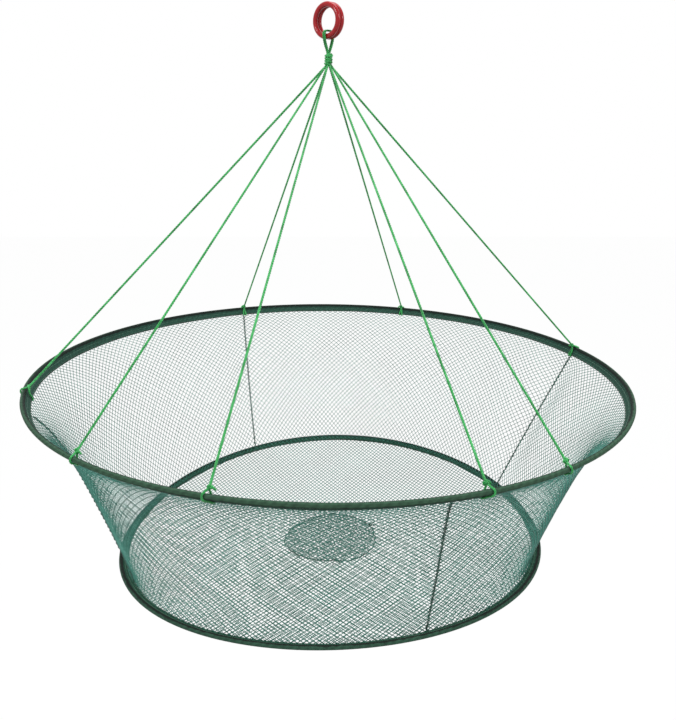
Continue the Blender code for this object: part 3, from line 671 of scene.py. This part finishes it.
# The hoop wires and their crimped sleeves stay hidden in the tape: drawn spring steel with a dull grey skin,
# faintly marked by the die, in spots of about 1.5 mm.
spring_steel, tree, shader = finish_of("drawn_spring_steel", "#8d8f91", 0.34, Metallic=1.0)
spot = put(tree, "ShaderNodeTexCoord")
skin_marks = put(tree, "ShaderNodeTexNoise", {
    "Vector": spot.outputs["Object"], "Scale": 700.0, "Detail": 4.0})
steel_shade = put(tree, "ShaderNodeMix", {
    0: skin_marks.outputs["Fac"], 6: tint("#6f7274"), 7: tint("#a9abad")}, data_type="RGBA")
steel_gloss = put(tree, "ShaderNodeMapRange", {
    0: skin_marks.outputs["Fac"], 1: 0.3, 2: 0.7, 3: 0.26, 4: 0.48})
tree.links.new(steel_shade.outputs[2], shader.inputs["Base Color"])
tree.links.new(steel_gloss.outputs[0], shader.inputs["Roughness"])
for node in ("top_hoop_wire", "top_hoop_ferrule", "bottom_hoop_wire", "bottom_hoop_ferrule"):
    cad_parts[node].data.materials.clear()
    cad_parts[node].data.materials.append(spring_steel)

# The wall: four panels of knotless polyethylene netting with a mesh of 6 mm, hung on the bias, so that its
# bars cross the wall at about 45 degrees. Its head and its foot are sewn between the two edges of the tapes.
# The seams' azimuths and drifts are in degrees, SEAM_REACH and SHORTEST_BAR in radians, and BAR_DRIFT in
# steps from one bar to the next. PULLED_FROM and NODE_DEPTHS are shares of the way down.
SEAM_AZIMUTHS = (17.5, 114.3, 203.6, 287.4)
SEAM_DRIFTS = (6.0, 3.6, 4.4, 5.4)
SEAM_CORD = 0.0018
SEAM_TAUT = (1.0, 1.0, 0.0, 0.7)
SEAM_REACH = 0.10
SEAM_GAP = 0.0004
HEAD_HELD = (0.0103, 0.0126)
HEAD_GAP = 0.00085
HEAD_FLARE = 0.0175
HEAD_POWER = 10
PULLED_FROM = 0.012
FOOT_HELD = (0.0004, 0.0022)
FOOT_INSET = 0.0007
WALL_CURVE = 1.15
WALL_SWELL = 0.0016
WALL_STEPS = 240
WALL_BARS = 250
MESH_BAR = 0.0059
SHORTEST_BAR = 0.004
BAR_DRIFT = 0.06
BAR_STRAY = 0.00008
BAR_CROSSING = 0.00032
BAR_STEPS = 26
WALL_TWINE = 0.00037
TWINE_SIDES = 5
NODE_HALF = 0.00080
NODE_FLATNESS = 0.8
NODE_DEPTHS = (0.01, 0.995)

# wall_line goes down the wall as (radius, height). From inside the upper tape it comes in quickly, by
# HEAD_FLARE times the share of the height to the power of HEAD_POWER. Then it runs nearly straight down.
head_along = tail_axes(TAIL_DROP)[0]
tail_tip = np.array([TOP_RADIUS, TOP_Z]) + TAIL_LENGTH * head_along
foot_along = tail_axes(BOTTOM_TAIL_DROP)[0]
foot_tip = np.array([BOTTOM_RADIUS, BOTTOM_Z]) + BOTTOM_TAIL_LENGTH * foot_along
head_z = tail_tip[1] - HEAD_GAP
narrowing = tail_tip[0] - HEAD_FLARE - foot_tip[0]
wall_line = [(TOP_RADIUS, TOP_Z) + held * head_along for held in HEAD_HELD]
wall_line += [(foot_tip[0] - FOOT_INSET + narrowing * s**WALL_CURVE + HEAD_FLARE * s**HEAD_POWER,
               foot_tip[1] + (head_z - foot_tip[1]) * s) for s in np.linspace(0.99, 0.012, 60)]
wall_line += [foot_tip + FOOT_HELD[0] * foot_along, foot_tip - FOOT_HELD[1] * foot_along]
wall_line = eased(wall_line, WALL_STEPS)
wall_turns, wall_phases = chance.integers(2, 9, 6), chance.uniform(0, TURN, 6)

# Every mesh keeps the length of its bars. So where the wall narrows, the meshes are narrower and taller, and
# the bars run steeper. sweep_line is how far round the wall a bar has gone, in radians, at each even step.
half_mesh = math.pi * wall_line[:, 0] / WALL_BARS
bar_turn = math.pi / WALL_BARS / np.sqrt(MESH_BAR**2 - half_mesh**2)
drop_step = path_length(wall_line) / (len(wall_line) - 1)
sweep_line = np.concatenate([[0.0], np.cumsum((bar_turn[1:] + bar_turn[:-1]) / 2 * drop_step)])


def on_wall(azimuth, depth, out=0.0):
    """A point of the wall, from its azimuth at the mouth, its share of the way down and its place out.

    The netting swells by about a millimetre between the hoops, and turns with the seams as it goes down. A
    taut seam runs straight from rim to floor and pulls the netting beside it out with it. The third is slack.
    """
    even = np.linspace(0, 1, len(wall_line))
    radius, z = (np.interp(depth, even, part) for part in wall_line.T)
    swell = np.cos(azimuth[..., None] * wall_turns + wall_phases).mean(axis=-1)
    turns_off = azimuth[..., None] - np.radians(SEAM_AZIMUTHS)
    turns_off = np.arctan2(np.sin(turns_off), np.cos(turns_off))
    beside_seam = (np.array(SEAM_TAUT) * np.exp(-((turns_off / SEAM_REACH) ** 2))).sum(axis=-1)
    taut = np.interp(z, (foot_tip[1], head_z), (foot_tip[0], tail_tip[0]))
    pulled = np.clip(taut - radius, 0, None) * beside_seam * np.clip(depth / PULLED_FROM, 0, 1)
    radius = radius + out + pulled + WALL_SWELL * swell * np.sin(math.pi * depth) ** 2
    drift = np.radians(np.interp(np.degrees(azimuth), SEAM_AZIMUTHS, SEAM_DRIFTS, period=360))
    turned = azimuth + drift * np.clip((TOP_Z - z) / WALL_HEIGHT, 0, 1)
    return lie(np.stack([radius * np.cos(turned), radius * np.sin(turned), z], axis=-1))


# Polyethylene netting twine: thin, a little stiff and shiny, sea green and unevenly dyed.
def netting(name, dark, mid, light):
    """Netting twine: its colour drifts slowly over 70 mm of net, and quickly from bar to bar, over 3 mm."""
    made, tree, shader = finish_of(name, mid, 0.5, Specular_IOR_Level=0.35)
    spot = put(tree, "ShaderNodeTexCoord")
    slow = put(tree, "ShaderNodeTexNoise", {"Vector": spot.outputs["Object"], "Scale": 14.0, "Detail": 2.0})
    quick = put(tree, "ShaderNodeTexNoise", {"Vector": spot.outputs["Object"], "Scale": 380.0, "Detail": 3.0})
    mixed = put(tree, "ShaderNodeMath", {0: slow.outputs["Fac"], 1: quick.outputs["Fac"]}, operation="ADD")
    ramp = put(tree, "ShaderNodeValToRGB", {0: put(tree, "ShaderNodeMath", {0: mixed.outputs[0], 1: 0.5},
                                                   operation="MULTIPLY").outputs[0]})
    stops = ramp.color_ramp.elements
    stops[0].position, stops[0].color = 0.36, tint(dark)
    stops[1].position, stops[1].color = 0.64, tint(light)
    stops.new(0.5).color = tint(mid)
    dent = put(tree, "ShaderNodeBump", {"Height": quick.outputs["Fac"], "Strength": 0.4, "Distance": 0.0001})
    tree.links.new(ramp.outputs[0], shader.inputs["Base Color"])
    tree.links.new(dent.outputs[0], shader.inputs["Normal"])
    return made


sea_green_netting = netting("knotless_polyethylene_netting", "#2c6659", "#3d7d6f", "#5b978a")
bar_step = TURN / WALL_BARS
even = np.linspace(0, 1, len(wall_line))
for panel, degrees in enumerate(SEAM_AZIMUTHS):
    # A bar goes round the wall as it goes down, one way or the other. It starts at the rim or at one seam,
    # and ends at the other seam or at the foot. The seams are at low and high.
    span = math.radians((SEAM_AZIMUTHS[(panel + 1) % 4] - degrees) % 360)
    low = math.radians(degrees) + SEAM_GAP / BOTTOM_RADIUS
    high = math.radians(degrees) + span - SEAM_GAP / BOTTOM_RADIUS
    seam_lean = math.radians(SEAM_DRIFTS[panel] + SEAM_DRIFTS[(panel + 1) % 4]) / 2 / sweep_line[-1]
    tubes = []
    for sense, shift in ((1, 0.0), (-1, 0.5)):
        rate = sense - seam_lean
        reach = rate * sweep_line[-1]
        edges = (low - max(reach, 0), high - min(reach, 0))
        first = math.ceil(edges[0] / bar_step - shift)
        starts = (np.arange(first, math.floor(edges[1] / bar_step - shift) + 1) + shift) * bar_step
        ends = np.sort(np.stack([(low - starts), (high - starts)]) / rate, axis=0)
        upper, lower = np.clip(ends, 0, sweep_line[-1])
        kept = lower - upper > SHORTEST_BAR
        starts, upper, lower = starts[kept, None], upper[kept, None], lower[kept, None]
        swept = upper + (lower - upper) * np.linspace(0, 1, BAR_STEPS)
        depth = np.interp(swept, sweep_line, even)
        azimuth = starts + rate * swept
        azimuth = azimuth + chance.normal(0, BAR_DRIFT, starts.shape) * bar_step * np.sin(math.pi * depth)
        out = sense * BAR_CROSSING + chance.normal(0, BAR_STRAY, starts.shape)
        tubes.append(tubed(on_wall(azimuth, depth, out), WALL_TWINE, outward(azimuth), TWINE_SIDES))
    # The bars of the two ways cross at every half mesh down the wall, and each crossing has a small node.
    rows = (np.arange(int(2 * sweep_line[-1] / bar_step)) + 0.5) * bar_step / 2
    bars = np.arange(math.floor((low - sweep_line[-1]) / bar_step), math.ceil(high / bar_step) + 1) * bar_step
    swept, azimuth = np.meshgrid(rows, bars)
    azimuth = azimuth + (1 - seam_lean) * swept
    depth = np.interp(swept, sweep_line, even)
    kept = (azimuth > low) & (azimuth < high) & (depth < NODE_DEPTHS[1]) & (depth > NODE_DEPTHS[0])
    azimuth, depth = azimuth[kept], depth[kept]
    centre = on_wall(azimuth, depth)
    down = unit(on_wall(azimuth, depth + 0.001) - centre)
    base = outward(azimuth)
    round_way = np.cross(upward, base)
    thin = NODE_FLATNESS * NODE_HALF * base
    nodes = np.stack([centre, -NODE_HALF * round_way, -NODE_HALF * down, thin], axis=1)
    net = skin(f"wall_netting_{panel + 1}", tubes, nodes)
    net.data.materials.append(sea_green_netting)
    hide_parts(*[f"wall_panel_{panel + 1}_{band}" for band in ("upper", "middle", "lower")])
    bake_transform(net)

# The seams: a dark green cord laid down each join between two panels, from under the rim to the lower tape,
# and a thinner one laced round it and the panels' edges.
SEAM_ENDS = (0.022, 0.985)
SEAM_STEPS = 560
SEAM_OUT = 0.0004
SEAM_WAVER = 0.0003
LACING_CORD = 0.0011
LACING_TURNS = 41
LACING_SWING = (0.0014, 0.0012)
dark_twine = twine("laid_dark_green_cord", "#0a3324", "#14473a", "#2c6e5b")
for number, degrees in enumerate(SEAM_AZIMUTHS):
    depth = np.linspace(*SEAM_ENDS, SEAM_STEPS)
    azimuth = np.full(SEAM_STEPS, math.radians(degrees))
    outwards = np.array([math.cos(azimuth[0]), math.sin(azimuth[0]), 0.0])
    line = on_wall(azimuth, depth, SEAM_OUT + SEAM_WAVER * np.sin(depth * 150))
    turn = TURN * LACING_TURNS * depth
    swung = azimuth + LACING_SWING[0] / BOTTOM_RADIUS * np.sin(turn)
    laced = on_wall(swung, depth, SEAM_OUT + LACING_SWING[1] * np.cos(turn))
    seam = skin(f"seam_cord_{number + 1}", [
        laid(line, SEAM_CORD, outwards, phase=0.9 * number), laid(laced, LACING_CORD, outwards, sides=5)])
    seam.data.materials.append(dark_twine)
    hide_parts(f"wall_seam_{number + 1}")
    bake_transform(seam)

# The floor: a disc of the same netting, in a thicker twine. It is sewn between the edges of the lower tape
# and hangs in a shallow bowl.
FLOOR_EDGE = BOTTOM_RADIUS - BOTTOM_TAIL_LENGTH * math.cos(BOTTOM_TAIL_DROP)
FLOOR_EDGE_Z = BOTTOM_Z - BOTTOM_TAIL_LENGTH * math.sin(BOTTOM_TAIL_DROP)
FLOOR_SINK = 0.02588
FLOOR_TWINE = 0.00050
FLOOR_PITCH = 0.0056
FLOOR_LEAN = math.radians(37.0)
FLOOR_TUCK = 0.0021
RAIL_END = 0.0004
NODE_END = 0.001


def on_floor(flat, lift=0.0):
    """A point of the floor from its place in plan: a bowl whose depth falls off with the distance squared."""
    share = (flat**2).sum(axis=-1) / FLOOR_EDGE**2
    z = FLOOR_EDGE_Z - FLOOR_SINK * (1 - share) + lift
    return lie(np.concatenate([flat, np.broadcast_to(z, share.shape)[..., None]], axis=-1))


def disc_of_netting(reach, facing, twine_radius, lift, waved=0.0002):
    """Bars of netting across a disc, cut at its edge, and the nodes where they cross.

    They are two families of parallel lines, FLOOR_PITCH apart, that lean by FLOOR_LEAN either way from the
    direction facing. So the meshes are pulled a little long in that direction.
    """
    rails = np.arange(-math.floor(reach / FLOOR_PITCH), math.floor(reach / FLOOR_PITCH) + 1) * FLOOR_PITCH
    rails = rails[np.abs(rails) < reach - RAIL_END]
    half = np.sqrt(reach**2 - rails**2)
    tubes, normals = [], []
    for sense in (1, -1):
        turn = facing + sense * FLOOR_LEAN
        along, aside = np.array([(math.cos(turn), math.sin(turn)), (-math.sin(turn), math.cos(turn))])
        normals.append(aside)
        run = half[:, None] * np.linspace(-1, 1, BAR_STEPS)
        drift = rails[:, None] + waved * np.cos(run * 60 + chance.uniform(0, TURN, rails.shape)[:, None])
        flat = run[..., None] * along + drift[..., None] * aside
        height = lift(flat) + sense * BAR_CROSSING
        tubes.append(tubed(on_floor(flat, height), twine_radius, upward, TWINE_SIDES))
    crossings = np.stack(np.meshgrid(rails, rails), axis=-1).reshape(-1, 2) @ np.linalg.inv(normals).T
    flat = crossings[(crossings**2).sum(axis=1) < (reach - NODE_END) ** 2]
    centre = on_floor(flat, lift(flat))
    long_way = NODE_HALF * np.array([math.cos(facing), math.sin(facing), 0.0])
    axes = long_way, NODE_FLATNESS * np.cross(upward, long_way), NODE_FLATNESS * NODE_HALF * upward
    return tubes, np.stack([centre] + [np.broadcast_to(axis, centre.shape) for axis in axes], axis=1)


tubes, nodes = disc_of_netting(FLOOR_EDGE + FLOOR_TUCK, TURN / 4, FLOOR_TWINE, lambda flat: 0.0)
floor_net = skin("floor_netting_sheet", tubes, nodes)
floor_net.data.materials.append(sea_green_netting)
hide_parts("floor_netting")
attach(floor_net, "floor_hoop")

# The bait pocket: two smaller layers of the same netting, in a finer twine, laid on the middle of the floor.
# Their edge is gathered by the drawcord.
POCKET_RADIUS = 0.066
POCKET_TUCK = 0.0006
POCKET_CLEAR = 0.0010
POCKET_CROWN = 0.0020
POCKET_PUCKER = 0.0005
PUCKERS = 17
LAYER_GAP = 0.0013
LAYER_FACINGS = (math.radians(72.0), math.radians(115.0))
POCKET_TWINE = 0.00032


def pocket_lift(flat):
    """The pocket's height over the floor: a low crown, and puckers that grow towards the gathered edge."""
    share = np.clip((flat**2).sum(axis=-1) / POCKET_RADIUS**2, 0, 1)
    turn = np.arctan2(flat[..., 1], flat[..., 0])
    puckers = POCKET_PUCKER * share * np.sin(PUCKERS * turn + 2 * np.sin(3 * turn))
    return POCKET_CLEAR + POCKET_CROWN * (1 - share) + puckers


pocket_tubes, pocket_nodes = [], []
for layer, facing in enumerate(LAYER_FACINGS):
    tubes, nodes = disc_of_netting(
        POCKET_RADIUS + POCKET_TUCK, facing, POCKET_TWINE,
        lambda flat, layer=layer: pocket_lift(flat) + LAYER_GAP * layer)
    pocket_tubes += tubes
    pocket_nodes.append(nodes)
pocket = skin("bait_pocket_netting", pocket_tubes, np.concatenate(pocket_nodes))
pocket.data.materials.append(sea_green_netting)
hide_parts("bait_pocket")
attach(pocket, "floor_hoop")

# The pocket's drawcord: a dark cord laced round the pocket's edge, and knotted at the right and in front. It
# runs under the floor at the left rear and the front right, and over it in two arcs between them.
DRAWCORD = 0.0020
DRAWCORD_STEPS = 720
DRAWCORD_OUT = 0.0018
DRAWCORD_UNDER = -0.0024
DRAWCORD_RISE = 0.0046
LACES = 26
LACE_SWING = (0.0007, 0.0004)
UNDER_AT = math.radians(150.0)
KNOT_PLACES = (math.radians(28.0), math.radians(277.0))
KNOT_OUT = 0.0022
KNOT_LIFT = 0.0024
KNOT_SIZE = 0.00066
KNOT_CORD = DRAWCORD * 0.8
lacing = np.linspace(0, TURN, DRAWCORD_STEPS, endpoint=False)
reach = POCKET_RADIUS + DRAWCORD_OUT + LACE_SWING[0] * np.sin(LACES * lacing)
flat = np.stack([reach * np.cos(lacing), reach * np.sin(lacing)], axis=1)
above = np.clip(0.5 - 1.4 * np.cos(2 * (lacing - UNDER_AT)), 0, 1)
above = above * above * (3 - 2 * above)
ring_line = on_floor(flat, DRAWCORD_UNDER + DRAWCORD_RISE * above + LACE_SWING[1] * np.cos(LACES * lacing))
parts = [laid(ring_line, DRAWCORD, upward, closed=True, sides=5)]
for place in KNOT_PLACES:
    outwards = np.array([math.cos(place), math.sin(place), 0.0])
    aside = np.cross(upward, outwards)
    centre = on_floor((POCKET_RADIUS + KNOT_OUT) * outwards[:2], KNOT_LIFT)
    parts.append(laid(trefoil(centre, KNOT_SIZE, unit(outwards + 0.6 * upward), place), KNOT_CORD,
                      unit(outwards + 0.6 * upward + 0.1 * aside), closed=True, sides=5))
    for sense in (-1, 1):
        end = [centre, centre + 0.005 * outwards + 0.004 * sense * aside + 0.0004 * upward,
               centre + 0.011 * outwards + 0.005 * sense * aside - 0.0008 * upward]
        parts.append(laid(eased(end, 40), KNOT_CORD, upward, sides=5))
drawcord = skin("pocket_drawcord_lacing", parts)
drawcord.data.materials.append(dark_twine)
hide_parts("pocket_drawcord")
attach(drawcord, "floor_hoop")
